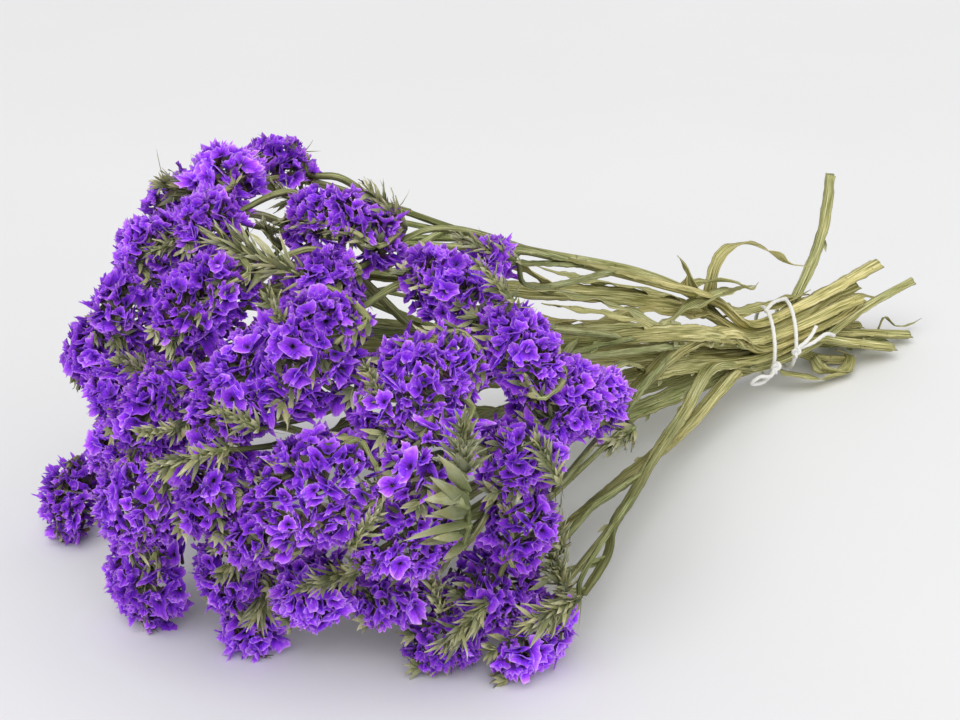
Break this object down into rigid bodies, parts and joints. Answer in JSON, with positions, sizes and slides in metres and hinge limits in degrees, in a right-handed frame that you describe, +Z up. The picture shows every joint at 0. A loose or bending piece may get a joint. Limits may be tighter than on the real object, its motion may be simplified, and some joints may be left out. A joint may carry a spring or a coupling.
{
  "type": "dried statice bunch",
  "caption": "Tied bunch of dried statice lying down: flat winged stems fan out of a white string and fork into spikes of papery violet flowers over green bracts.",
  "frame": {"origin": "middle of the bottom of the bunch's box, on the surface that it lies on", "axes": "+X along the bunch from the flowers to the cut ends, -Y to the side where the low front stems and the string's knots are, +Z up"},
  "size_m": [0.4794, 0.2426, 0.1787],
  "materials": {
    "stem": "matte",
    "flower": "matte",
    "string": "matte"
  },
  "bodies": {
    "root": {"stem_01": "stem", "stem_02": "stem", "stem_03": "stem", "stem_04": "stem", "stem_05": "stem", "stem_06": "stem", "stem_07": "stem", "stem_08": "stem", "stem_09": "stem", "stem_10": "stem", "stem_11": "stem", "stem_12": "stem", "stem_13": "stem", "stem_14": "stem", "head_01": "flower", "head_02": "flower", "head_03": "flower", "head_04": "flower", "head_05": "flower", "head_06": "flower", "head_07": "flower", "head_08": "flower", "head_09": "flower", "head_10": "flower", "head_11": "flower", "head_12": "flower", "head_13": "flower", "head_14": "flower", "head_15": "flower", "head_16": "flower", "head_17": "flower", "head_18": "flower", "head_19": "flower", "head_20": "flower", "head_21": "flower", "head_22": "flower", "head_23": "flower", "head_24": "flower", "head_25": "flower", "head_26": "flower", "head_27": "flower", "head_28": "flower", "head_29": "flower", "head_30": "flower", "head_31": "flower", "head_32": "flower", "head_33": "flower", "head_34": "flower", "head_35": "flower", "head_36": "flower", "head_37": "flower", "head_38": "flower", "head_39": "flower", "head_40": "flower", "head_41": "flower", "head_42": "flower", "head_43": "flower", "head_44": "flower", "head_45": "flower", "tie_string": "string"}
  },
  "joints": []
}
